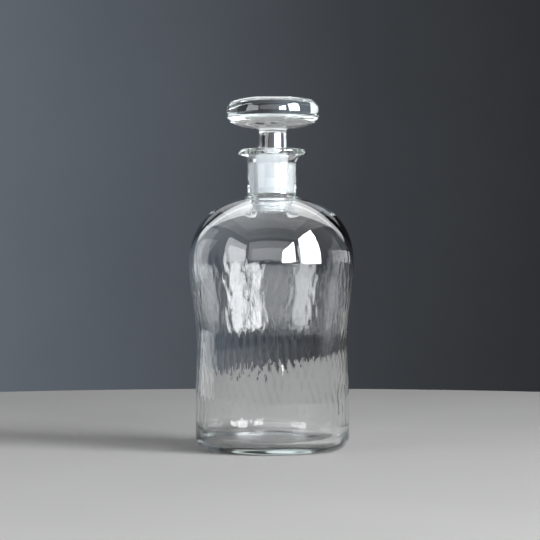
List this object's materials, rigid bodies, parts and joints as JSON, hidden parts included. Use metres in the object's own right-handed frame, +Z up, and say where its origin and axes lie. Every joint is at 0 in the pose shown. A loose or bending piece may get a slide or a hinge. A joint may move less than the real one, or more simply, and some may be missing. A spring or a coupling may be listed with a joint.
{
  "type": "stoppered decanter",
  "caption": "Clear blown-glass decanter shaped like a waisted bottle, with a flared lip and a ground-in glass stopper, for holding and pouring wine or spirits.",
  "frame": {"origin": "middle of the foot, on the surface that the decanter stands on", "axes": "+Z up along the axis of the bottle, neck and stopper; X and Y are alike, as both pieces are round"},
  "size_m": [0.0964, 0.0964, 0.2035],
  "materials": {
    "bottle_glass": "clear blown glass, faintly green in its thick edges, with faint upright ripples; the socket is ground matt white",
    "stopper_glass": "clear polished solid glass; the plug is ground matt white"
  },
  "bodies": {
    "bottle": {"bottle": "bottle_glass"},
    "stopper": {"stopper": "stopper_glass"}
  },
  "joints": [
    {"name": "stopper_lift", "type": "slide", "parent": "bottle", "child": "stopper", "axis": [0, 0, 1], "range_m": [0, 0.06]}
  ]
}
